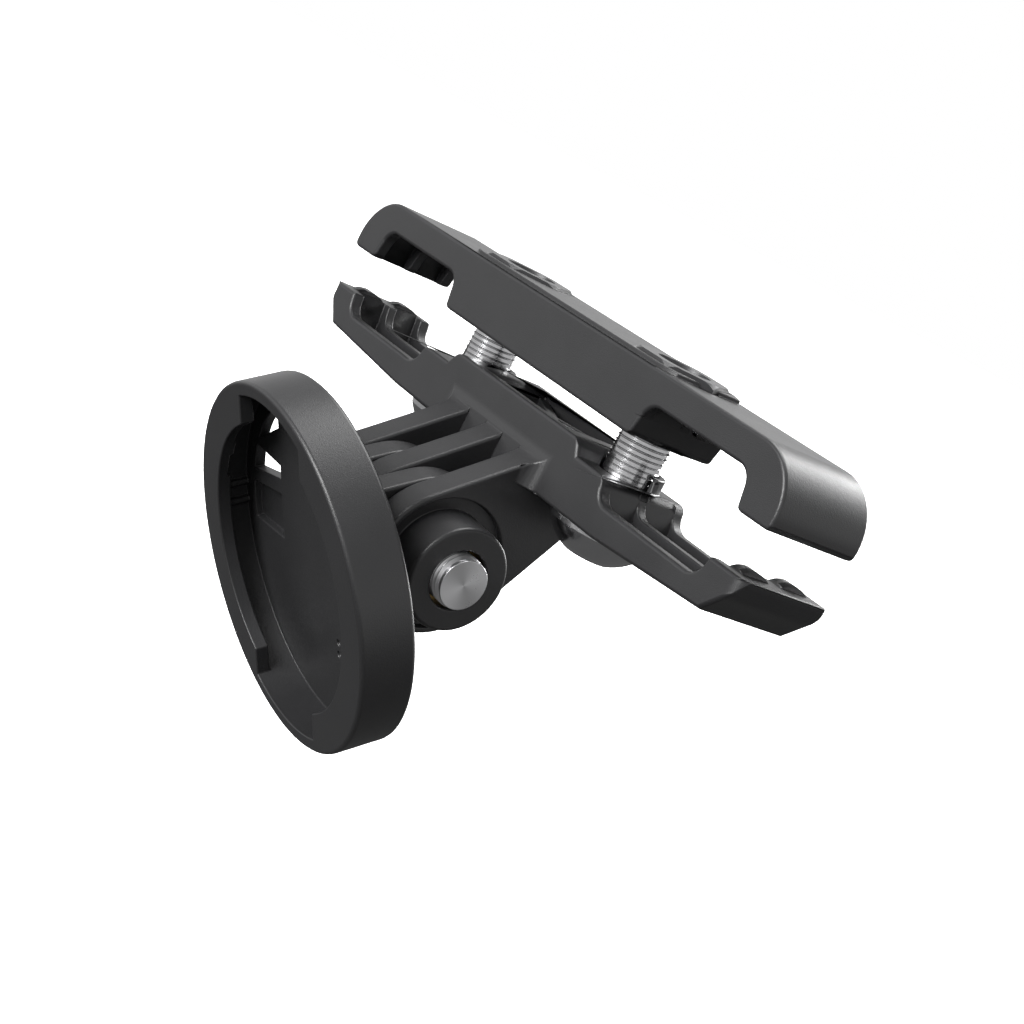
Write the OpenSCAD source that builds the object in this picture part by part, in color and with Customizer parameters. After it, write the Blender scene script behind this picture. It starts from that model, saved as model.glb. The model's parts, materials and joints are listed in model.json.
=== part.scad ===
// Saddle-rail clamp with a tilting quarter-turn cradle ring.
// Two jaws grip a pair of saddle rails, drawn together by two long bolts.
// The lower jaw carries three prongs, and the cradle ring tilts between them.
// The origin is midway between the rails, at the height of their centre lines.
// +X runs across the rails, +Y points forward along them, and +Z points up.

/* [Saddle rails] */
// diameter of one saddle rail
rail_d = 7; // [6.5:0.1:7.5]
// distance between the centre lines of the two rails
rail_spacing = 44; // [42:0.5:46]

/* [Jaws] */
// overall length of both jaws across the rails
jaw_len = 71.6; // [70:0.1:86]
// depth of both jaws along the rails
jaw_depth = 10.2; // [9.8:0.1:13]
// radius of the upper jaw's rounded ends
end_r = 5; // [4:0.1:5]
// distance from the middle of the clamp to the middle of a rail channel
channel_mid = 23.8; // [23.4:0.1:25]
// width of a rail channel at its mouth
channel_w = 15.4; // [14:0.1:16]
// corner radius inside a rail channel
channel_r = 1.7; // [1:0.1:2]
// lean of a channel's sides from upright
channel_lean = 14; // [8:1:18]
// thickness of the jaws' near and far walls beside the channel pockets
jaw_wall = 1.3; // [1:0.05:1.6]
// thickness of each rib across a channel
rib_t = 1; // [0.8:0.05:1.4]
// how far the lower jaw's pockets go behind a channel's surface
pocket_depth = 1.9; // [1:0.1:2]
// how far the upper jaw's pockets go behind it
upper_pocket_depth = 1; // [0.6:0.1:1.1]
// height of the small pads on the lower jaw's outer lips
pad_h = 0.5; // [0.3:0.05:0.6]
// length of each pad along the rail
pad_len = 3.2; // [2.6:0.1:3.8]

/* [Upper jaw] */
// how far the upper jaw is raised from its clamped position
open_gap = 2.4; // [1.6:0.1:2.4]
// depth of the rail channels in the upper jaw
upper_channel_h = 3.2; // [2.9:0.05:3.4]
// height of the upper jaw without its top plate
upper_h = 6.05; // [5.8:0.05:7.2]
// length of the raised plate on top
plate_len = 34; // [32:0.5:36]
// thickness of the raised plate
plate_t = 0.4; // [0.3:0.05:0.8]
// how far the plate is set in from the jaw's faces
plate_inset = 0.25; // [0.1:0.05:0.5]
// size of the cut corners of the plate
plate_corner = 2; // [1:0.1:3]

/* [Lower jaw] */
// height of the lower jaw's middle block above the rail centre lines
block_top = 0; // [-0.3:0.05:0.05]
// length of the raised middle block
block_len = 21.4; // [20:0.1:22]
// depth of the rail channels in the lower jaw
lower_channel_h = 2.1; // [1.8:0.05:2.4]
// thickness of the lower jaw under a rail channel, at the middle of the clamp
lower_floor = 2.8; // [2.6:0.05:3.4]
// how far the underside rises towards the ends
underside_rise = 0.9; // [0.5:0.05:1]
// size of the sloping cut under the lower jaw's ends
tip_cut = 2.8; // [2:0.1:3]
// wall thickness of the box in the middle block
box_wall = 1.3; // [1:0.05:1.6]
// how far the box's crossed ribs stop below its rim
box_rib_drop = 0.5; // [0.3:0.1:2]
// half length of the box in the middle block
box_half = 6.9; // [5:0.1:7]

/* [Clamp bolts and nuts] */
// distance between the two clamp bolts
bolt_spacing = 25.8; // [25.2:0.1:26.2]
// thread diameter of all three bolts
bolt_d = 5; // [4.2:0.1:5]
// length of a clamp bolt under its head
clamp_bolt_len = 15.4; // [15:0.1:18]
// outer radius of the half collar behind each clamp bolt
collar_r = 3.2; // [3.1:0.05:3.2]
// diameter of a button head
head_d = 9.5; // [9:0.1:9.5]
// height of a button head
head_h = 2.75; // [2.4:0.05:2.8]
// distance across the flats of the socket in a head
socket_af = 3; // [2.5:0.1:3.2]
// distance across the flats of a clamp nut
nut_af = 8; // [7.8:0.1:8]
// thickness of a clamp nut
nut_t = 2.7; // [2.4:0.1:2.7]
// how far a nut stands above the plate
nut_proud = 0.3; // [0.1:0.05:0.6]

/* [Hinge] */
// distance from the middle of the jaws back to the hinge axis
hinge_back = 9.7; // [9.6:0.1:11]
// distance from the rail centre lines down to the hinge axis
hinge_drop = 15.3; // [15.2:0.1:17]
// outer radius of the jaw's prongs
hub_r = 6.85; // [6.4:0.05:6.85]
// thickness of each of the jaw's three prongs
prong_t = 3; // [2.8:0.05:3.2]
// width of each gap between them
prong_gap = 3; // [2.9:0.05:3.6]
// slope of the prongs' top edges
prong_top_slope = 36; // [32:1:40]
// radius of the flare where the prongs' top edges meet the jaw
root_flare = 2; // [1:0.1:2.2]
// radius of the fillets between the outer prongs' sides and the jaw
side_fillet = 1.6; // [1:0.1:1.8]
// slope of the prongs' bottom edges
prong_bottom_slope = 60; // [56:1:64]
// radius of the boss on the outer prong, around the bolt's tip
boss_r = 4.9; // [4.6:0.05:5.2]
// height of that boss
boss_h = 3.4; // [3.2:0.05:3.8]
// outer radius of the shallow groove around the boss
moat_r = 6.2; // [5.8:0.05:6.4]
// depth of that groove
moat_depth = 0.7; // [0.4:0.05:0.9]
// height of the low boss under the hinge bolt's head
seat_boss_h = 0.65; // [0.4:0.05:1]
// how far the bolt's tip stands out of the boss
tip_proud = 0.95; // [0.5:0.05:1.2]
// radius of the threaded insert inside the boss
insert_r = 3.6; // [3.3:0.05:3.8]
// length of the threaded insert
insert_len = 4; // [3.6:0.1:4.2]

/* [Cradle ring] */
// tilt of the ring's axis below level
cradle_tilt = 31.2; // [20:0.1:45]
// outer radius of the ring
ring_r = 16.8; // [16.6:0.1:18]
// depth of the ring from front to back
ring_depth = 5.1; // [5:0.1:6]
// distance from the hinge axis to the ring's back face
ring_back = 7.1; // [7.1:0.05:8]
// how far the ring's axis passes below the hinge axis
ring_offset = 0.9; // [0:0.1:1.2]
// inner radius of the two lips
lip_r = 13; // [12.8:0.05:13.2]
// thickness of the lips
lip_t = 1.3; // [1.1:0.05:1.5]
// inner radius behind the lips and in the two tab notches
pocket_r = 15.5; // [15.2:0.05:15.7]
// width of each tab notch
notch_w = 12.2; // [11:0.1:13]
// depth from the ring's front to its floor
floor_depth = 4; // [3.8:0.05:4.2]
// radius of a detent rib on the pocket's wall
detent_r = 0.4; // [0.3:0.05:0.5]
// half width of the solid band down the middle of the floor
band_half = 7.4; // [7.2:0.1:8]
// outer radius of the openings in the floor
window_r = 13.8; // [13:0.1:14]
// depth of the blind recesses in the floor
recess_depth = 0.7; // [0.4:0.05:0.8]

/* [Fits] */
// radial clearance of a bolt turning in its hole
bolt_fit = 0.08; // [0.05:0.01:0.1]
// radial clearance between a bolt and a threaded bore
thread_fit = 0.05; // [0.03:0.01:0.08]
// clearance around a nut in its pocket
nut_fit = 0.1; // [0.05:0.01:0.15]
// sideways clearance of the cradle's prongs in the gaps
prong_fit = 0.1; // [0.05:0.01:0.15]

/* [Hidden] */
$fn = 96;
over = 1;
overlap = 0.4;
block_slant = 0.9;
head_margin = 0.3;
plastic = [0.16, 0.16, 0.165];
steel = [0.78, 0.78, 0.8];
brass = [0.78, 0.62, 0.3];

rail_r = rail_d / 2;
bolt_r = bolt_d / 2;
near_y = -jaw_depth / 2;

// heights, from the rail centre lines
channel_floor = -rail_r;
wing_top = channel_floor + lower_channel_h;
underside = channel_floor - lower_floor;
channel_ceiling = rail_r + open_gap;
upper_bottom = channel_ceiling - upper_channel_h;
upper_top = upper_bottom + upper_h;
plate_top = upper_top + plate_t;
nut_seat = plate_top + nut_proud - nut_t;

// ribs and pockets across a rail channel
bays = 2;
inner_depth = jaw_depth - 2 * jaw_wall;
bay_w = (inner_depth - (bays - 1) * rib_t) / bays;
bay_y = [for (i = [0 : bays - 1]) -inner_depth / 2 + bay_w / 2 + i * (bay_w + rib_t)];
pad_r = (pow(pad_len / 2, 2) + pow(pad_h, 2)) / (2 * pad_h);
pad_gap = 1.4;
pocket_spread = 1.1;
pad_t = 1.6;
pad_x = channel_mid + (channel_w + pad_t) / 2 + pocket_spread + 0.1;

// hinge
prong_pitch = prong_t + prong_gap;
prongs_w = 3 * prong_t + 2 * prong_gap;
gap_x = prong_pitch / 2;
head_gap = 0.1;
bolt_x = max(bolt_spacing / 2, (prongs_w + head_d) / 2 + head_gap);
cradle_prong_t = prong_gap - 2 * prong_fit;
cradle_hub_r = hub_r - 0.05;
gap_root_r = hub_r + 1.25;
root_step = 0.3;
far = 30;
boss_face = prongs_w / 2 + boss_h;
bolt_tip_x = boss_face + tip_proud;
bolt_seat_x = -prongs_w / 2 - seat_boss_h;
hinge_bolt_len = bolt_tip_x - bolt_seat_x;
tip_hole_r = bolt_r + 0.3;
insert_end = boss_face - 2;
insert_start = insert_end - insert_len;
seat_boss_r = head_d / 2 + 0.35;

// button head: a dome over a short straight rim
rim_h = 0.5;
crown_r = 2.2;
dome_c = (pow(crown_r, 2) + pow(head_h, 2) - pow(head_d / 2, 2) - pow(rim_h, 2))
         / (2 * (head_h - rim_h));
dome_r = sqrt(pow(head_d / 2, 2) + pow(rim_h - dome_c, 2));
socket_depth = 1.6;
nut_bevel = 0.4;
tip_chamfer = 0.15;

// ring
ring_front = ring_back + ring_depth;
floor_z = ring_front - floor_depth;
lip_back = ring_front - lip_t;
dimple_x = 3.6;
dimple_r = 0.3;

// solid along Y from a flat shape in X and Z
module along_y(depth) {
    translate([0, depth / 2, 0]) rotate([90, 0, 0]) linear_extrude(height = depth) children();
}

// solid along X, from x0 to x1, from a flat shape in Y and Z
module along_x(x0, x1) {
    translate([x0, 0, 0]) rotate([90, 0, 90]) linear_extrude(height = x1 - x0) children();
}

module both_sides() {
    children();
    mirror([1, 0, 0]) children();
}

// cross-section of a channel that opens at height 0 and goes up to h, w wide at the mouth
module channel_shape(w, h, r) {
    lean = channel_lean;
    cz = h - r;
    cx = w / 2 - cz * tan(lean) - r / cos(lean);
    tx = cx + r * cos(lean);
    tz = cz + r * sin(lean);
    mouth = w / 2 + over * tan(lean);
    polygon([[-mouth, -over], [mouth, -over], [tx, tz], [cx, h], [-cx, h], [-tx, tz]]);
    for (s = [-1, 1]) translate([s * cx, cz]) circle(r);
}

// pockets between the ribs, reaching further than the channel at its outer side
module channel_pockets(h) {
    for (y = bay_y) translate([pocket_spread / 2, y, 0])
        along_y(bay_w) channel_shape(channel_w + pocket_spread, h, channel_r);
}

// two low pads on the lower jaw's lip outside a channel
module lip_pads() {
    for (s = [-1, 1]) translate([pad_x, s * (pad_len + pad_gap) / 2, 0])
        intersection() {
            along_x(-pad_t / 2, pad_t / 2) translate([0, pad_h - pad_r]) circle(pad_r);
            translate([-pad_t / 2, -pad_len / 2, -pad_h]) cube([pad_t, pad_len, 2 * pad_h]);
        }
}

module upper_outline() {
    end_x = jaw_len / 2 - end_r;
    translate([-end_x, upper_bottom]) square([2 * end_x, upper_h]);
    for (s = [-1, 1]) intersection() {
        translate([s * end_x, upper_top - end_r]) circle(end_r);
        translate([s * end_x - end_r, upper_bottom]) square([2 * end_r, upper_h]);
    }
}

module top_plate() {
    x = plate_len / 2;
    y = jaw_depth / 2 - plate_inset;
    c = plate_corner;
    translate([0, 0, upper_top - over]) linear_extrude(height = plate_t + over)
        polygon([[-x, -y + c / 2], [-x + c, -y], [x - c, -y], [x, -y + c / 2],
                 [x, y - c / 2], [x - c, y], [-x + c, y], [-x, y - c / 2]]);
}

module upper_jaw() {
    color(plastic) difference() {
        union() {
            along_y(jaw_depth) upper_outline();
            top_plate();
        }
        both_sides() {
            translate([channel_mid, 0, upper_bottom]) {
                along_y(jaw_depth + 2 * over) channel_shape(channel_w, upper_channel_h, channel_r);
                channel_pockets(upper_channel_h + upper_pocket_depth);
            }
            translate([bolt_x, 0, upper_bottom - over])
                cylinder(h = upper_h + plate_t + 2 * over, r = tip_hole_r);
            translate([bolt_x, 0, nut_seat])
                cylinder(h = nut_t + over, r = (nut_af / 2 + nut_fit) / cos(30), $fn = 6);
        }
    }
}

module lower_outline() {
    end_x = jaw_len / 2;
    cut_x = end_x - tip_cut;
    cut_z = underside + underside_rise;
    flat_x = bolt_x + head_d / 2 + head_margin;
    half = [[block_len / 2, block_top], [block_len / 2 + block_slant, wing_top], [end_x, wing_top],
            [end_x, cut_z + tip_cut], [cut_x, cut_z], [flat_x, underside]];
    polygon([for (p = half) p, for (i = [len(half) - 1 : -1 : 0]) [-half[i][0], half[i][1]]]);
}

// side view of a prong, about the hinge axis, reaching into the lower jaw
module prong_outline() {
    t = prong_top_slope;
    b = prong_bottom_slope;
    into = hinge_back + near_y + over;
    top_z = (hub_r + into * sin(t)) / cos(t);
    deck = hinge_drop + underside + overlap;
    circle(hub_r);
    polygon([[-hub_r * sin(t), hub_r * cos(t)], [into, top_z], [into, deck],
             [(hub_r + deck * cos(b)) / sin(b), deck], [hub_r * sin(b), -hub_r * cos(b)], [0, 0]]);
    // flare up to the jaw's near face, hollowed by a circle that touches both
    face = hinge_back + near_y;
    face_z = (hub_r + face * sin(t)) / cos(t);
    reach = root_flare * tan((90 - t) / 2);
    difference() {
        polygon([[face - reach * cos(t), face_z - reach * sin(t)], [face + over, face_z - over],
                 [face + over, face_z + reach], [face, face_z + reach]]);
        translate([face - root_flare, face_z + reach]) circle(root_flare);
    }
}

// upright fillets between the outer prongs' sides and the jaw's near face
module side_fillets() {
    r = side_fillet;
    face = hinge_back + near_y;
    intersection() {
        along_x(-prongs_w, prongs_w) prong_outline();
        both_sides() translate([prongs_w / 2, face, hinge_drop + underside])
            linear_extrude(height = far) difference() {
                translate([-over, -r]) square([r + over, r + over]);
                translate([r, -r]) circle(r);
            }
    }
}

// what is cut away between two prongs
module gap_outline() {
    circle(gap_root_r);
    front = hinge_back + near_y - root_step;
    translate([front - far, -far]) square([far, 2 * far]);
}

module box_ribs() {
    rib_h = block_top - underside - box_wall - box_rib_drop;
    half_y = jaw_depth / 2 - box_wall;
    reach = sqrt(pow(box_half, 2) + pow(half_y, 2)) + overlap / 2;
    for (s = [-1, 1]) rotate(s * atan(half_y / box_half))
        translate([-reach, -rib_t / 2, underside + box_wall - overlap / 2])
            cube([2 * reach, rib_t, rib_h]);
}

// half collars behind the clamp bolts, as high as the middle block
module bolt_collars() {
    both_sides() translate([bolt_x, 0, wing_top - overlap]) intersection() {
        cylinder(h = block_top - wing_top + overlap, r = collar_r);
        translate([-collar_r, rib_t / 2, 0]) cube([2 * collar_r, collar_r, far]);
    }
}

module lower_jaw() {
    color(plastic) difference() {
        union() {
            difference() {
                along_y(jaw_depth) lower_outline();
                translate([-box_half, -jaw_depth / 2 + box_wall, underside + box_wall])
                    cube([2 * box_half, jaw_depth - 2 * box_wall, jaw_depth]);
            }
            box_ribs();
            both_sides() translate([0, 0, wing_top]) lip_pads();
            bolt_collars();
            translate([0, -hinge_back, -hinge_drop]) difference() {
                union() {
                    along_x(-prongs_w / 2, prongs_w / 2) prong_outline();
                    side_fillets();
                    along_x(0, boss_face) circle(boss_r);
                    along_x(bolt_seat_x, 0) circle(seat_boss_r);
                }
                for (s = [-1, 1]) along_x(s * gap_x - prong_gap / 2, s * gap_x + prong_gap / 2)
                    gap_outline();
            }
        }
        translate([0, -hinge_back, -hinge_drop]) {
            along_x(-prongs_w, insert_start + over) circle(bolt_r + bolt_fit);
            along_x(insert_start, insert_end) circle(insert_r);
            along_x(insert_start, prongs_w) circle(tip_hole_r);
            along_x(prongs_w / 2 - moat_depth, prongs_w / 2) difference() {
                circle(moat_r);
                circle(boss_r);
            }
        }
        both_sides() {
            translate([channel_mid, 0, wing_top]) mirror([0, 0, 1]) {
                along_y(jaw_depth + 2 * over) channel_shape(channel_w, lower_channel_h, channel_r);
                channel_pockets(lower_channel_h + pocket_depth);
            }
            translate([bolt_x, 0, underside - over]) cylinder(h = far, r = bolt_r + bolt_fit);
        }
    }
}

// a button-head bolt along +Z, its head's underside at height 0
module button_bolt(len) {
    difference() {
        union() {
            intersection() {
                translate([0, 0, -head_h]) cylinder(h = head_h, r = head_d / 2);
                translate([0, 0, -dome_c]) sphere(dome_r);
            }
            cylinder(h = len - tip_chamfer, r = bolt_r);
            translate([0, 0, len - tip_chamfer])
                cylinder(h = tip_chamfer, r1 = bolt_r, r2 = bolt_r - tip_chamfer);
        }
        translate([0, 0, -head_h - over])
            cylinder(h = socket_depth + over, r = socket_af / 2 / cos(30), $fn = 6);
    }
}

module clamp_bolt() {
    color(steel) translate([bolt_x, 0, underside]) button_bolt(clamp_bolt_len);
}

module clamp_bolt_left() {
    mirror([1, 0, 0]) clamp_bolt();
}

module clamp_bolt_right() {
    clamp_bolt();
}

module clamp_nut() {
    hex_r = nut_af / 2 / cos(30);
    color(steel) translate([bolt_x, 0, nut_seat]) difference() {
        intersection() {
            cylinder(h = nut_t, r = hex_r, $fn = 6);
            union() {
                cylinder(h = nut_bevel, r1 = hex_r - nut_bevel, r2 = hex_r);
                translate([0, 0, nut_bevel]) cylinder(h = nut_t - 2 * nut_bevel, r = hex_r);
                translate([0, 0, nut_t - nut_bevel])
                    cylinder(h = nut_bevel, r1 = hex_r, r2 = hex_r - nut_bevel);
            }
        }
        translate([0, 0, -over]) cylinder(h = nut_t + 2 * over, r = bolt_r + thread_fit);
    }
}

module clamp_nut_left() {
    mirror([1, 0, 0]) clamp_nut();
}

module clamp_nut_right() {
    clamp_nut();
}

module hinge_bolt() {
    color(steel) translate([bolt_seat_x, -hinge_back, -hinge_drop]) rotate([0, 90, 0])
        button_bolt(hinge_bolt_len);
}

module hinge_insert() {
    grooves = 12;
    color(brass) translate([insert_start, -hinge_back, -hinge_drop]) rotate([0, 90, 0])
        difference() {
            cylinder(h = insert_len, r = insert_r);
            translate([0, 0, -over]) cylinder(h = insert_len + 2 * over, r = bolt_r + thread_fit);
            for (i = [0 : grooves - 1]) rotate(i * 360 / grooves)
                translate([insert_r, 0, 0.6]) cylinder(h = insert_len - 1.2, r = 0.25, $fn = 24);
        }
}

// a sector of the floor outside its middle band, between two sloping lines
// low and high are a line's height at the band and its slope towards the rim
module floor_sector(low, high) {
    reach = window_r - band_half;
    intersection() {
        circle(window_r);
        translate([band_half, 0]) polygon([[0, low[0]], [reach, low[0] + reach * low[1]],
                                           [reach, high[0] + reach * high[1]], [0, high[0]]]);
    }
}

// the cradle's openings go right through its floor; the recesses are blind
module floor_openings() {
    floor_sector([9.7, -0.63], [window_r, 0]);
    floor_sector([4.6, -0.24], [5.9, 0]);
}

module floor_recesses() {
    floor_sector([-1.4, -0.1], [3, -0.2]);
    floor_sector([-8.6, 0], [-6.6, -0.6]);
}

// side view of a cradle prong: its hub, and its root up to the ring's floor
module cradle_prong_outline() {
    circle(cradle_hub_r);
    translate([-cradle_hub_r, 0]) square([2 * cradle_hub_r, ring_back + overlap]);
}

module cradle_ring() {
    color(plastic) translate([0, -hinge_back, -hinge_drop]) rotate([90 + cradle_tilt, 0, 0])
        difference() {
            union() {
                translate([0, -ring_offset, 0]) difference() {
                    translate([0, 0, ring_back]) cylinder(h = ring_depth, r = ring_r);
                    translate([0, 0, floor_z]) cylinder(h = lip_back - floor_z, r = pocket_r);
                    translate([0, 0, floor_z]) cylinder(h = floor_depth + over, r = lip_r);
                    intersection() {
                        translate([0, 0, floor_z]) cylinder(h = floor_depth + over, r = pocket_r);
                        translate([-notch_w / 2, -ring_r, floor_z])
                            cube([notch_w, 2 * ring_r, floor_depth + over]);
                    }
                    both_sides() {
                        translate([0, 0, ring_back - over]) linear_extrude(height = ring_depth)
                            floor_openings();
                        translate([0, 0, floor_z - recess_depth])
                            linear_extrude(height = recess_depth + over) floor_recesses();
                    }
                    // two dimples near the bottom of the floor
                    for (y = [-6.8, -8]) translate([dimple_x, y, floor_z - dimple_r])
                        cylinder(h = dimple_r + over, r = dimple_r, $fn = 24);
                }
                // detent ribs, a pair on each side wall behind the lips
                translate([0, -ring_offset, floor_z - 0.1]) both_sides()
                    for (s = [-1, 1]) rotate(s * 3.5) translate([pocket_r, 0, 0])
                        cylinder(h = lip_back - floor_z + 0.2, r = detent_r);
                for (s = [-1, 1]) along_x(s * gap_x - cradle_prong_t / 2,
                                          s * gap_x + cradle_prong_t / 2) cradle_prong_outline();
            }
            along_x(-prongs_w, prongs_w) circle(bolt_r + bolt_fit);
        }
}

lower_jaw();
upper_jaw();
clamp_bolt_left();
clamp_bolt_right();
clamp_nut_left();
clamp_nut_right();
hinge_bolt();
hinge_insert();
cradle_ring();
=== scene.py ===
import json
import math

import bmesh
import bpy
from bpy.props import FloatProperty, FloatVectorProperty, IntProperty, PointerProperty
from mathutils import Matrix, Vector


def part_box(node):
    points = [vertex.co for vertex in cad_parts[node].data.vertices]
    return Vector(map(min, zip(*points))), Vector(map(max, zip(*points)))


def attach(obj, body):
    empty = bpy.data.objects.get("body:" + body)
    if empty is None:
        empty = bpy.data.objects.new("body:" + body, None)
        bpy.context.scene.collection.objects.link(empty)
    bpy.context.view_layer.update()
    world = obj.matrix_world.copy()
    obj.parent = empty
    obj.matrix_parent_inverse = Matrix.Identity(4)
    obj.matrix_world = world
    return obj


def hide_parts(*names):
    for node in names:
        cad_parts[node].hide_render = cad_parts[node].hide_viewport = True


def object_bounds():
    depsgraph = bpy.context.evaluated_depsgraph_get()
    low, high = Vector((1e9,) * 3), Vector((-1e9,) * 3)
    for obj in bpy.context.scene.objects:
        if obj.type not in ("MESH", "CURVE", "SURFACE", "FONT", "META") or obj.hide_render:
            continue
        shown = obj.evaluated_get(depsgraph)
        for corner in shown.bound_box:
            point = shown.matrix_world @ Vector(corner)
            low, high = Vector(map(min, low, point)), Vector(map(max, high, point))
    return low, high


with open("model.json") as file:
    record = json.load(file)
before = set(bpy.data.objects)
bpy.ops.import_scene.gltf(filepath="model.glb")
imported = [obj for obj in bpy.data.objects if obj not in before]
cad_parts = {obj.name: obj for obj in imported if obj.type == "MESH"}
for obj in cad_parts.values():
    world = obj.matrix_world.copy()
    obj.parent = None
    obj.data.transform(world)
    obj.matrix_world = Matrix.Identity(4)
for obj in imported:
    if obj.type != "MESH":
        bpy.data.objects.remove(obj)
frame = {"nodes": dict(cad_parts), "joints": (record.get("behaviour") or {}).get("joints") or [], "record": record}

bl_info = {
    "name": "Saddle rail mount",
    "version": (1, 0, 0),
    "blender": (4, 5, 0),
    "location": "View3D > Sidebar > Rail mount",
    "description": "Moulded saddle-rail clamp with a tilting quarter-turn cradle",
    "category": "Object",
}

CAD_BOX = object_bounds()
MM = 0.001


def joint(name):
    return next(j for j in frame["joints"] if j["name"] == name)


HINGE = Vector(joint("cradle_tilt")["pos_m"]) / MM
SOCKET = next(m for m in frame["record"]["mounts"] if m["name"] == "quarter_turn_socket")
RING_AXIS = Vector(SOCKET["axis"]).normalized()
RING_MIDDLE = Vector(SOCKET["pos_m"]) / MM

# name, place, size and power of each lamp; all point at the origin
LIGHTS = (("overhead", (-0.25, 0.2, 0.9), 0.8, 9), ("front", (0.1, -1.0, 0.35), 0.7, 15),
          ("back_rim", (-0.2, 0.9, 0.4), 0.6, 12))
# the camera's place, and its directions to the right, up and back
CAMERA_PLACE = Vector((0.13977747, -0.11297118, 0.02123241))
CAMERA_AXES = ((0.49932856, 0.73886647, 0.45249014), (-0.40962182, -0.25888349, 0.874751),
               (0.76346641, -0.62213799, 0.17338791))

# where the jaws' roundings change, in mm from the frame's origin
PAD_X = (32.6, 34.5)        # the low pads outside a rail channel, from and to
PAD_DEPTH = 4.5             # half of a pad's depth
TIP_LENGTH, TIP_TOP = 3.5, -2           # the lower jaw's tips
BOX_HALF, BOX_TOP = 17, -1.6            # the box between the rail channels
BORE_REACH, BOSS_REACH = 4.7, 6.4       # round the hinge's axis
BOSS_FACE = 7.5                         # the boss's right face
PRONG_START = 0.4                       # behind the jaw's near face
PLATE_FOOT = 0.8                        # above the upper jaw's lowest point
# the same for the cradle, from the middle of its ring
OUTER_WALL, BACK_DEPTH = 16.5, 5.2


# ---------------------------------------------------------------- sizes and colours

class MouldingSettings(bpy.types.PropertyGroup):
    """Edges and finish of the moulded parts"""
    fine_round: FloatProperty(name="Fine rounding", description="Radius on ribs and small rims",
                              default=0.00014, unit="LENGTH", min=0)
    edge_round: FloatProperty(name="Edge rounding", description="Radius on most outer edges",
                              default=0.00034, unit="LENGTH", min=0)
    soft_round: FloatProperty(name="Soft rounding", description="Radius on the broadest edges",
                              default=0.00055, unit="LENGTH", min=0)
    broad_round: FloatProperty(name="Broad rounding",
                               description="Radius of corners seen in outline",
                               default=0.0008, unit="LENGTH", min=0)
    tip_round: FloatProperty(name="Tip rounding", description="Radius at the lower jaw's tips",
                             default=0.0011, unit="LENGTH", min=0)
    round_steps: IntProperty(name="Rounding steps", description="Faces across a rounded edge",
                             default=3, min=1, max=6)
    colour: FloatVectorProperty(name="Colour", description="Colour of the moulded plastic",
                                default=(0.02, 0.02, 0.021), subtype="COLOR", min=0, max=1)
    sheen: FloatProperty(name="Roughness", description="Mean roughness of the plastic",
                         default=0.4, min=0, max=1)


class HardwareSettings(bpy.types.PropertyGroup):
    """Sizes and finish of the bolts, nuts and insert"""
    bolt_size: FloatProperty(name="Bolt size", description="Diameter over the threads",
                             default=0.0049, unit="LENGTH", min=0.001)
    bolt_tip: FloatProperty(name="Bolt tip", description="Length of a bolt's plain tip",
                            default=0.00035, unit="LENGTH", min=0)
    head_height: FloatProperty(name="Head height", description="Height of a button head",
                               default=0.00275, unit="LENGTH", min=0)
    pitch: FloatProperty(name="Thread pitch", description="Advance of a thread in one turn",
                         default=0.0005, unit="LENGTH", min=0.0001)
    thread_depth: FloatProperty(name="Thread depth", description="Height of the thread's ridge",
                                default=0.0003, unit="LENGTH", min=0)
    steel: FloatVectorProperty(name="Steel", description="Colour of the bright steel",
                               default=(0.62, 0.62, 0.63), subtype="COLOR", min=0, max=1)
    brass: FloatVectorProperty(name="Brass", description="Colour of the threaded insert",
                               default=(0.62, 0.44, 0.18), subtype="COLOR", min=0, max=1)


class StageSettings(bpy.types.PropertyGroup):
    """Floor, light and camera"""
    floor_gap: FloatProperty(name="Floor gap", description="Height of the mount over the floor",
                             default=0.03, unit="LENGTH", min=0)
    floor_colour: FloatVectorProperty(name="Floor", description="Colour of the floor",
                                      default=(0.9, 0.9, 0.9), subtype="COLOR", min=0, max=1)
    floor_glow: FloatProperty(name="Floor glow", description="Light the floor gives off",
                              default=0.8, min=0)
    air_above: FloatProperty(name="Air above", description="Brightness of the air overhead",
                             default=0.35, min=0)
    air_level: FloatProperty(name="Air at eye level", description="Brightness of the horizon",
                             default=1.05, min=0)
    air_below: FloatProperty(name="Air below", description="Brightness of the air below",
                             default=0.12, min=0)
    key: FloatProperty(name="Key light", description="Power of the large light overhead",
                       default=1.2, min=0, unit="POWER")
    lens: FloatProperty(name="Lens", description="Focal length on a 36 mm sensor",
                        default=69.4236, min=10)


# ---------------------------------------------------------------- shader maths

class Value:
    """A shader socket that Python's operators work on."""

    def __init__(self, tree, socket):
        self.tree, self.socket = tree, socket

    def math(self, operation, *others):
        node = self.tree.nodes.new("ShaderNodeMath")
        node.operation = operation
        for slot_in, v in zip(node.inputs, (self, *others)):
            if isinstance(v, Value):
                self.tree.links.new(v.socket, slot_in)
            else:
                slot_in.default_value = v
        return Value(self.tree, node.outputs[0])

    def __add__(self, o): return self.math("ADD", o)
    def __sub__(self, o): return self.math("SUBTRACT", o)
    def __mul__(self, o): return self.math("MULTIPLY", o)
    def __truediv__(self, o): return self.math("DIVIDE", o)
    def __radd__(self, o): return self.math("ADD", o)
    def __rsub__(self, o): return self.math("MULTIPLY_ADD", -1, o)
    def __rmul__(self, o): return self.math("MULTIPLY", o)
    def __rtruediv__(self, o): return self.math("POWER", -1) * o
    def sin(self): return self.math("SINE")
    def sqrt(self): return self.math("SQRT")

    def clamp(self):
        held = self.math("ADD", 0.0)
        held.socket.node.use_clamp = True
        return held


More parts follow.
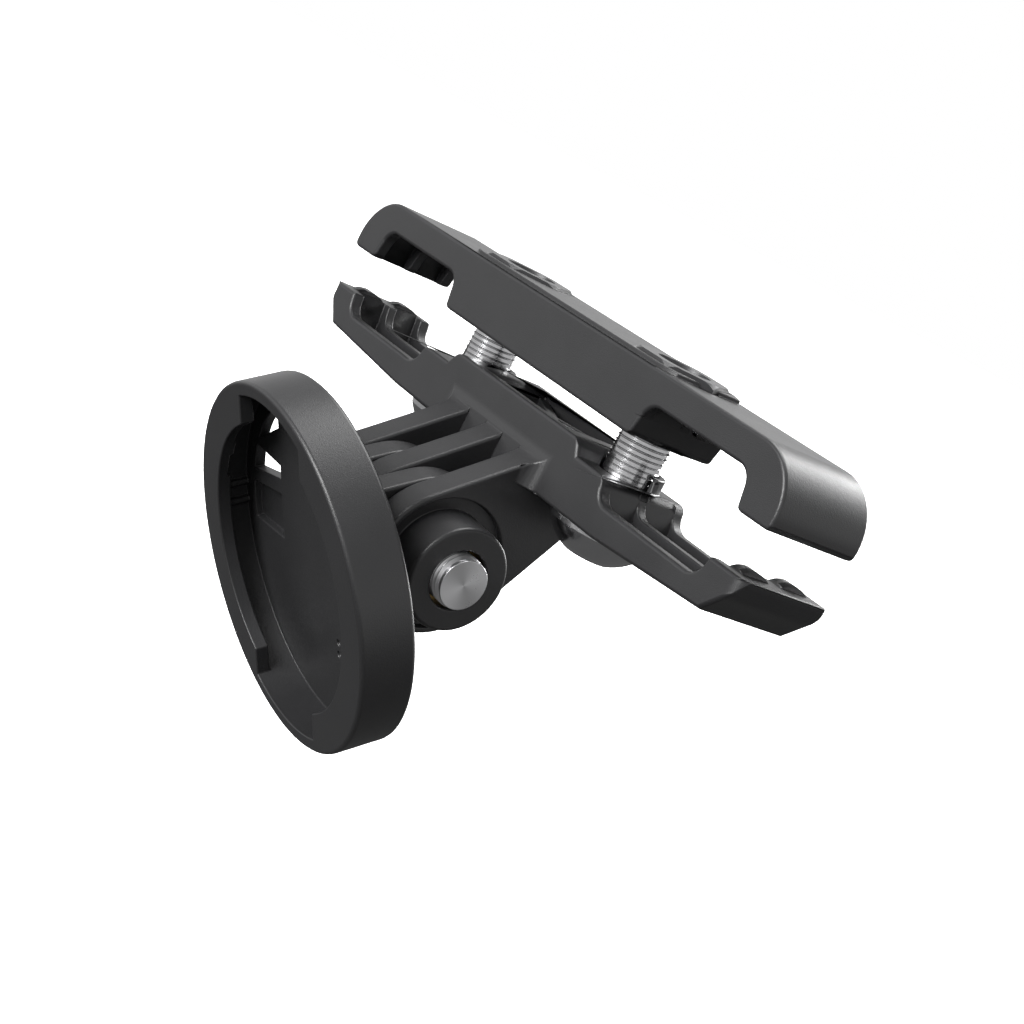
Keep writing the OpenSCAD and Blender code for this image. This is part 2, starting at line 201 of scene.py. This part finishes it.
class Nodes:
    """A node tree; node() adds any node from its type, settings and inputs."""

    def __init__(self, tree):
        self.tree = tree

    def node(self, kind, settings=None, **inputs):
        n = self.tree.nodes.new("ShaderNode" + kind)
        for key, v in (settings or {}).items():
            if key == "stops":
                while len(n.color_ramp.elements) > 1:
                    n.color_ramp.elements.remove(n.color_ramp.elements[-1])
                n.color_ramp.elements[0].position = v[0][0]
                n.color_ramp.elements[0].color = v[0][1]
                for at, colour in v[1:]:
                    n.color_ramp.elements.new(at).color = colour
            else:
                setattr(n, key, v)
        for key, v in inputs.items():
            self.put(n.inputs[key.replace("_", " ")], v)
        return n

    def put(self, socket, v):
        if isinstance(v, Value):
            self.tree.links.new(v.socket, socket)
        elif isinstance(v, bpy.types.NodeSocket):
            self.tree.links.new(v, socket)
        else:
            socket.default_value = v

    def value(self, socket):
        return Value(self.tree, socket)


class Finish(Nodes):
    """One material's nodes round its Principled BSDF."""

    def __init__(self, name):
        self.material = bpy.data.materials.new(name)
        self.material.use_nodes = True
        super().__init__(self.material.node_tree)
        self.shader = self.tree.nodes["Principled BSDF"]

    def set(self, **inputs):
        for key, v in inputs.items():
            self.put(self.shader.inputs[key.replace("_", " ")], v)

    def place(self):
        return self.node("TexCoord").outputs["Object"]

    def noise(self, scale, detail):
        n = self.node("TexNoise", Vector=self.place(), Scale=scale, Detail=detail,
                      Roughness=0.5)
        return self.value(n.outputs["Fac"])

    def mix(self, factor, a, b):
        n = self.node("Mix", {"data_type": "RGBA"})
        colour_a, colour_b, result = n.inputs[6], n.inputs[7], n.outputs[2]
        self.put(n.inputs["Factor"], factor)
        self.put(colour_a, a)
        self.put(colour_b, b)
        return result

    def bump(self, height, distance, strength=1.0, normal=None):
        n = self.node("Bump", Strength=strength, Distance=distance, Height=height)
        if normal is not None:
            self.put(n.inputs["Normal"], normal)
        return n.outputs["Normal"]


def rgba(colour, factor=1.0):
    return tuple(min(1.0, c * factor) for c in colour[:3]) + (1.0,)


def moulded_plastic(settings):
    """Satin black nylon from a fine-grained mould."""
    f = Finish("moulded_plastic")
    cloud = f.noise(scale=220, detail=4)
    grain = f.noise(scale=9000, detail=2)
    flow = f.noise(scale=60, detail=2)
    f.set(Base_Color=f.mix(cloud, rgba(settings.colour, 0.88), rgba(settings.colour, 1.12)),
          Roughness=(cloud - 0.5) * 0.1 + (grain - 0.5) * 0.08 + settings.sheen,
          Specular_IOR_Level=0.5, IOR=1.5)
    fine = f.bump(grain, distance=0.000012)
    f.set(Normal=f.bump(flow, distance=0.00012, strength=0.3, normal=fine))
    return f.material


def bright_steel(settings, name, rough, rings_and_highlight=None):
    """Bright steel. Given a centre in metres and two axes, a turned face gets a lathe's marks and a painted
    highlight: lighter and darker sectors painted into its colour round that centre.
    """
    f = Finish(name)
    stain = f.noise(scale=400, detail=4)
    grain = f.noise(scale=6000, detail=2)
    f.set(Base_Color=f.mix(stain, rgba(settings.steel, 0.92), rgba(settings.steel, 1.06)),
          Roughness=(stain - 0.5) * 0.12 + (grain - 0.5) * 0.06 + rough, Metallic=1.0)
    if rings_and_highlight is None:
        f.set(Normal=f.bump(grain, distance=0.000004))
        return f.material
    centre, axes = rings_and_highlight
    mark_gap, mark_depth = 0.00011, 0.0000008
    not_zero = 1e-9
    parts = f.node("SeparateXYZ", Vector=f.place())
    a, b = (f.value(parts.outputs[i]) - c for i, c in zip(axes, centre))
    radius = (a * a + b * b).sqrt()
    marks = (radius * (2 * math.pi / mark_gap)).sin()
    # painted highlight and shade: the colour is lighter in two opposite sectors round the centre and darker in the
    # other two, in place of the turned face's reflection
    painted_highlight_sector = a * b / (radius * radius + not_zero)
    f.set(Normal=f.bump(marks, distance=mark_depth),
          Base_Color=f.mix((painted_highlight_sector * 0.9 + 0.5).clamp(), rgba(settings.steel, 0.8),
                           rgba(settings.steel, 1.35)))
    return f.material


def black_steel():
    """Blackened steel with a thin oily sheen."""
    f = Finish("black_steel")
    stain = f.noise(scale=500, detail=4)
    grain = f.noise(scale=7000, detail=2)
    f.set(Base_Color=f.mix(stain, (0.012, 0.012, 0.013, 1), (0.024, 0.024, 0.026, 1)),
          Roughness=(stain - 0.5) * 0.1 + (grain - 0.5) * 0.06 + 0.4, Metallic=0.0,
          Specular_IOR_Level=0.8, Normal=f.bump(grain, distance=0.000005))
    return f.material


def insert_brass(settings):
    """Brass of the threaded insert, a little stained."""
    f = Finish("insert_brass")
    stain = f.noise(scale=700, detail=4)
    f.set(Base_Color=f.mix(stain, rgba(settings.brass, 0.85), rgba(settings.brass, 1.1)),
          Roughness=stain * 0.2 + 0.22, Metallic=1.0,
          Normal=f.bump(stain, distance=0.00001))
    return f.material


def finish(name, make, *args):
    """The material of that name, made once."""
    return bpy.data.materials.get(name) or make(*args)


# ---------------------------------------------------------------- modelling by hand, in mm

def deselect():
    bpy.ops.object.select_all(action="DESELECT")


def only(piece):
    deselect()
    piece.select_set(True)
    bpy.context.view_layer.objects.active = piece


def copy_of(node, name):
    """A merged copy of a CAD node, in mm, with its flat faces whole."""
    source = frame["nodes"][node]
    piece = bpy.data.objects.new(name, source.data.copy())
    bpy.context.scene.collection.objects.link(piece)
    piece.data.materials.clear()
    piece.data.transform(Matrix.Scale(1 / MM, 4))
    only(piece)
    bpy.ops.object.mode_set(mode="EDIT")
    bpy.ops.mesh.select_all(action="SELECT")
    bpy.ops.mesh.customdata_custom_splitnormals_clear()
    bpy.ops.mesh.remove_doubles(threshold=0.0005)
    bpy.ops.mesh.dissolve_limited(angle_limit=math.radians(0.4))
    bpy.ops.object.mode_set(mode="OBJECT")
    for uv in list(piece.data.uv_layers):
        piece.data.uv_layers.remove(uv)
    return piece


def apply(piece, kind, **settings):
    m = piece.modifiers.new(kind.lower(), kind)
    for key, v in settings.items():
        setattr(m, key, v)
    only(piece)
    bpy.ops.object.modifier_apply(modifier=m.name)


def round_edges(piece, widest, width_of, steps):
    """Rounds each sharp edge by the width that width_of gives for its middle, its two faces'
    normals and whether it is convex."""
    sharp = math.radians(30)
    mesh = bmesh.new()
    mesh.from_mesh(piece.data)
    weight = mesh.edges.layers.float.new("bevel_weight_edge")
    for e in mesh.edges:
        if len(e.link_faces) == 2 and e.calc_face_angle() > sharp:
            middle = (e.verts[0].co + e.verts[1].co) / 2
            a, b = (face.normal for face in e.link_faces)
            e[weight] = min(1.0, width_of(middle, a, b, e.is_convex) / widest)
    mesh.to_mesh(piece.data)
    mesh.free()
    only(piece)
    bpy.ops.object.shade_smooth()
    apply(piece, "BEVEL", limit_method="WEIGHT", width=widest, segments=steps,
          use_clamp_overlap=False, harden_normals=False, loop_slide=False)
    apply(piece, "WEIGHTED_NORMAL", keep_sharp=True, weight=80)


def finished(piece, body, material, node):
    """Back to metres, with its material, on its body, in the CAD node's place."""
    piece.data.transform(Matrix.Scale(MM, 4))
    piece.data.materials.clear()
    piece.data.materials.append(material)
    piece.data.update()
    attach(piece, body)
    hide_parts(node)


def faces(a, b, axis):
    """Whether one of an edge's two faces looks along an axis."""
    return max(abs(a[axis]), abs(b[axis])) > 0.95


def runs_back(a, b):
    """Whether an edge runs along the rails, from a jaw's near face to its far face."""
    return abs(a.cross(b).normalized().y) > 0.99


def on_jaw_face(at, a, b, high):
    """Whether an edge lies on a jaw's near or far face."""
    return abs(abs(at.y) - high.y) < 0.05 and faces(a, b, 1)


def pad_edge(at, a, b):
    """Whether an edge belongs to the low pads outside a rail channel."""
    return PAD_X[0] < abs(at.x) < PAD_X[1] and abs(at.y) < PAD_DEPTH and (
        faces(a, b, 0) or not faces(a, b, 1))


def dress(piece, material):
    """Gives a CAD node that stays a better material."""
    piece.data.materials.clear()
    piece.data.materials.append(material)


# ---------------------------------------------------------------- pieces

class MOUNT_OT_lower_jaw(bpy.types.Operator):
    """Lower jaw: a ribbed moulding with three prongs for the hinge"""
    bl_idname = "mount.lower_jaw"
    bl_label = "Lower jaw"

    def execute(self, context):
        s = context.scene.mount_moulding
        fine, edge = s.fine_round / MM, s.edge_round / MM
        tip, broad = s.tip_round / MM, s.broad_round / MM
        piece = copy_of("lower_jaw", "lower_jaw_moulding")
        low, high = (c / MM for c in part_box("upper_jaw"))

        def width(at, a, b, convex):
            from_hinge = math.hypot(at.y - HINGE.y, at.z - HINGE.z)
            if pad_edge(at, a, b):
                return 0
            if runs_back(a, b) and abs(at.x) > high.x - TIP_LENGTH and at.z < TIP_TOP:
                return tip
            if runs_back(a, b) and convex and at.y > low.y and (
                    at.z > BOX_TOP and abs(at.x) < BOX_HALF):
                return broad
            if on_jaw_face(at, a, b, high):
                if at.y < 0 and abs(at.x) > high.x - 0.1:
                    return tip
                return edge if convex else fine
            if at.y > low.y + PRONG_START or not faces(a, b, 0) or not convex:
                return fine
            if from_hinge < BORE_REACH or (
                    from_hinge < BOSS_REACH and abs(at.x - BOSS_FACE) < 0.1):
                return fine
            return edge
        round_edges(piece, tip, width, s.round_steps)
        finished(piece, "lower", finish("moulded_plastic", moulded_plastic, s),
                 "lower_jaw")
        return {"FINISHED"}


class MOUNT_OT_upper_jaw(bpy.types.Operator):
    """Upper jaw: a ribbed moulding with a raised plate and two nut pockets"""
    bl_idname = "mount.upper_jaw"
    bl_label = "Upper jaw"

    def execute(self, context):
        s = context.scene.mount_moulding
        fine, edge, soft = (v / MM for v in (s.fine_round, s.edge_round, s.soft_round))
        piece = copy_of("upper_jaw", "upper_jaw_moulding")
        low, high = (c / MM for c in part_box("upper_jaw"))

        def width(at, a, b, convex):
            if pad_edge(at, a, b):
                return 0
            if runs_back(a, b) and convex and at.z < low.z + PLATE_FOOT:
                return soft
            if on_jaw_face(at, a, b, high) and convex:
                return edge
            return fine
        round_edges(piece, soft, width, s.round_steps)
        finished(piece, "upper", finish("moulded_plastic", moulded_plastic, s),
                 "upper_jaw")
        return {"FINISHED"}


class MOUNT_OT_cradle(bpy.types.Operator):
    """Cradle: the round quarter-turn socket on its two prongs"""
    bl_idname = "mount.cradle"
    bl_label = "Cradle"

    def execute(self, context):
        s = context.scene.mount_moulding
        fine, edge, soft = (v / MM for v in (s.fine_round, s.edge_round, s.soft_round))
        piece = copy_of("cradle_ring", "cradle_moulding")

        def width(at, a, b, convex):
            depth = (RING_MIDDLE - at).dot(RING_AXIS)
            off = (at - RING_MIDDLE).cross(RING_AXIS).length
            if off > OUTER_WALL:
                return edge + 0.08
            if depth > BACK_DEPTH:
                return edge
            return fine
        round_edges(piece, soft, width, s.round_steps)
        finished(piece, "cradle", finish("moulded_plastic", moulded_plastic, s),
                 "cradle_ring")
        return {"FINISHED"}


def thread(name, settings, start, end, radius):
    """A helical ridge along +Z between two heights, sunk into the shank at both ends."""
    pitch, root = settings.pitch / MM, radius - settings.thread_depth / MM
    foot = root - 0.05          # a little inside the shank
    crest = 0.46, 0.54          # the flat on the ridge, in turns
    fade = 0.3 * pitch          # over which the ridge rises and sinks
    steps = 40                  # round one turn
    bpy.ops.mesh.primitive_plane_add(size=1)
    piece = bpy.context.object
    piece.name = name
    profile = [(foot, 0), (radius, crest[0]), (radius, crest[1]), (foot, 1)]
    mesh = bmesh.new()
    line = [mesh.verts.new((r, 0, start + z * pitch)) for r, z in profile]
    for a, b in zip(line, line[1:]):
        mesh.edges.new((a, b))
    mesh.to_mesh(piece.data)
    mesh.free()
    turns = math.ceil((end - start) / pitch)
    apply(piece, "SCREW", screw_offset=pitch, iterations=turns, steps=steps,
          render_steps=steps, use_smooth_shade=True, use_normal_calculate=True)
    mesh = bmesh.new()
    mesh.from_mesh(piece.data)
    for e in mesh.edges:
        e.smooth = len(e.link_faces) < 2 or e.calc_face_angle() < math.radians(25)
    mesh.to_mesh(piece.data)
    mesh.free()
    for v in piece.data.vertices:
        r = math.hypot(v.co.x, v.co.y)
        share = max(0.0, min(1.0, (end - 0.2 - v.co.z) / fade, (v.co.z - start) / fade))
        k = (foot + (r - foot) * share) / r
        v.co.x, v.co.y = v.co.x * k, v.co.y * k
        v.co.z = min(v.co.z, end - 0.1)
    return piece


def bolt(context, node, name, place, body):
    """A button-head bolt: the CAD's head, its shank thinned to the thread's root, and a thread.
    place turns +Z to the bolt's own direction and puts the origin under its head."""
    s = context.scene.mount_hardware
    m = context.scene.mount_moulding
    piece = copy_of(node, name)
    piece.data.transform(place.inverted())
    end = max(v.co.z for v in piece.data.vertices)
    radius, tip = s.bolt_size / 2 / MM, s.bolt_tip / MM
    root = radius - s.thread_depth / MM
    neck, thread_start = 0.3, 0.6       # below the head
    mesh = bmesh.new()
    mesh.from_mesh(piece.data)
    bmesh.ops.bisect_plane(mesh, geom=mesh.verts[:] + mesh.edges[:] + mesh.faces[:],
                           plane_co=(0, 0, end - tip), plane_no=(0, 0, 1))
    for v in mesh.verts:
        r = math.hypot(v.co.x, v.co.y)
        widest = root if v.co.z < end - tip + 0.01 else radius - tip / 3
        if v.co.z > neck and r > widest:
            v.co.x, v.co.y = v.co.x * widest / r, v.co.y * widest / r
    mesh.to_mesh(piece.data)
    mesh.free()
    round_edges(piece, widest=0.1, width_of=lambda *edge: 0.06, steps=m.round_steps)
    ridge = thread(name + "_thread", s, thread_start, end - tip / 2, radius)
    only(piece)
    ridge.select_set(True)
    bpy.ops.object.join()
    piece.data.transform(place)
    if node == "hinge_bolt":
        middle = place.translation * MM
        # the hinge bolt's turned end face gets a painted highlight in its colour
        rings_and_highlight = (middle.y, middle.z), (1, 2)
        material = bright_steel(s, "turned_steel_painted_highlight", 0.3, rings_and_highlight)
    else:
        material = finish("bright_steel", bright_steel, s, "bright_steel", 0.16)
    finished(piece, body, material, node)


class MOUNT_OT_bolts(bpy.types.Operator):
    """The two clamp bolts and the hinge bolt"""
    bl_idname = "mount.bolts"
    bl_label = "Bolts"

    def execute(self, context):
        s = context.scene.mount_hardware
        for side in ("left", "right"):
            low, high = (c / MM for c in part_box(f"clamp_bolt_{side}"))
            x = (low.x + high.x) / 2
            under_head = low.z + s.head_height / MM
            bolt(context, f"clamp_bolt_{side}", f"clamp_bolt_{side}_turned",
                 Matrix.Translation((x, 0, under_head)), f"bolt_{side}")
        low, high = (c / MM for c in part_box("hinge_bolt"))
        under_head = Matrix.Translation((low.x + s.head_height / MM, HINGE.y, HINGE.z))
        bolt(context, "hinge_bolt", "hinge_bolt_turned",
             under_head @ Matrix.Rotation(math.radians(90), 4, "Y"), "hinge_screw")
        return {"FINISHED"}


class MOUNT_OT_nuts(bpy.types.Operator):
    """The two hexagonal nuts in the upper jaw and the brass insert in the boss"""
    bl_idname = "mount.nuts"
    bl_label = "Nuts and insert"

    def execute(self, context):
        s = context.scene.mount_hardware
        for side in ("left", "right"):
            node = f"clamp_nut_{side}"
            dress(frame["nodes"][node], finish("black_steel", black_steel))
        dress(frame["nodes"]["hinge_insert"], finish("insert_brass", insert_brass, s))
        return {"FINISHED"}


class MOUNT_OT_stage(bpy.types.Operator):
    """Floor, studio light and camera"""
    bl_idname = "mount.stage"
    bl_label = "Stage"

    def execute(self, context):
        s = context.scene.mount_stage
        low = CAD_BOX[0]
        deselect()
        bpy.ops.mesh.primitive_circle_add(vertices=128, radius=30, fill_type="NGON",
                                          location=(0, 0, low.z - s.floor_gap))
        floor = bpy.context.object
        floor.name = "studio_floor"
        f = Finish("floor_paper")
        fibre = f.noise(scale=30, detail=4)
        f.set(Base_Color=f.mix(fibre, rgba(s.floor_colour, 0.98), rgba(s.floor_colour)),
              Roughness=0.9, Specular_IOR_Level=0.1, Emission_Color=(1, 1, 1, 1),
              Emission_Strength=s.floor_glow)
        floor.data.materials.append(f.material)
        floor.visible_glossy = floor.visible_diffuse = False
        self.air(context, s)
        for name, place, size, power in LIGHTS:
            self.light(name, place, size, power * s.key)

        camera = bpy.data.cameras.new("camera")
        camera.lens, camera.sensor_width = s.lens, 36
        camera.clip_start, camera.clip_end = 0.005, 100
        eye = bpy.data.objects.new("camera", camera)
        context.scene.collection.objects.link(eye)
        turn = Matrix(CAMERA_AXES).transposed()
        eye.matrix_world = Matrix.Translation(CAMERA_PLACE) @ turn.to_4x4()
        context.scene.camera = eye
        context.scene.view_settings.view_transform = "Standard"
        context.scene.view_settings.look = "None"
        return {"FINISHED"}

    def air(self, context, s):
        """A studio that is bright overhead and dim below, on a white ground."""
        world = bpy.data.worlds.new("studio_air")
        world.use_nodes = True
        context.scene.world = world
        n = Nodes(world.node_tree)
        lit = n.tree.nodes["Background"]
        direction = n.node("SeparateXYZ", Vector=n.node("TexCoord").outputs["Generated"])
        height = n.value(direction.outputs["Z"]) * 0.5 + 0.5
        stops = [(at, (level,) * 3 + (1,)) for at, level in
                 ((0.38, s.air_below), (0.54, s.air_level), (0.8, s.air_above))]
        ramp = n.node("ValToRGB", {"stops": stops}, Fac=height)
        n.put(lit.inputs["Color"], ramp.outputs["Color"])
        ground = n.node("Background", Color=(1, 1, 1, 1))
        both = n.node("MixShader", Fac=n.node("LightPath").outputs["Is Camera Ray"])
        n.put(both.inputs[1], lit.outputs[0])
        n.put(both.inputs[2], ground.outputs[0])
        n.put(n.tree.nodes["World Output"].inputs["Surface"], both.outputs[0])

    def light(self, name, at, size, power):
        lamp = bpy.data.lights.new(name, "AREA")
        lamp.shape, lamp.size, lamp.energy = "DISK", size, power
        o = bpy.data.objects.new(name, lamp)
        bpy.context.scene.collection.objects.link(o)
        o.location = at
        o.rotation_euler = (-Vector(at)).to_track_quat("-Z", "Y").to_euler()


OPERATORS = (MOUNT_OT_lower_jaw, MOUNT_OT_upper_jaw, MOUNT_OT_cradle, MOUNT_OT_bolts,
             MOUNT_OT_nuts, MOUNT_OT_stage)


class MOUNT_PT_panel(bpy.types.Panel):
    """Lists the mount's pieces"""
    bl_idname = "MOUNT_PT_panel"
    bl_label = "Rail mount"
    bl_space_type = "VIEW_3D"
    bl_region_type = "UI"
    bl_category = "Rail mount"

    def draw(self, context):
        for settings in ("mount_moulding", "mount_hardware", "mount_stage"):
            group = getattr(context.scene, settings)
            for name in group.__annotations__:
                self.layout.prop(group, name)
        for operator in OPERATORS:
            self.layout.operator(operator.bl_idname)


CLASSES = (MouldingSettings, HardwareSettings, StageSettings, *OPERATORS, MOUNT_PT_panel)


def register():
    for c in CLASSES:
        bpy.utils.register_class(c)
    bpy.types.Scene.mount_moulding = PointerProperty(type=MouldingSettings)
    bpy.types.Scene.mount_hardware = PointerProperty(type=HardwareSettings)
    bpy.types.Scene.mount_stage = PointerProperty(type=StageSettings)


def unregister():
    del bpy.types.Scene.mount_moulding
    del bpy.types.Scene.mount_hardware
    del bpy.types.Scene.mount_stage
    for c in reversed(CLASSES):
        bpy.utils.unregister_class(c)


def main():
    register()
    for operator in OPERATORS:
        getattr(bpy.ops.mount, operator.bl_idname.split(".")[1])()


if __name__ == "__main__":
    main()
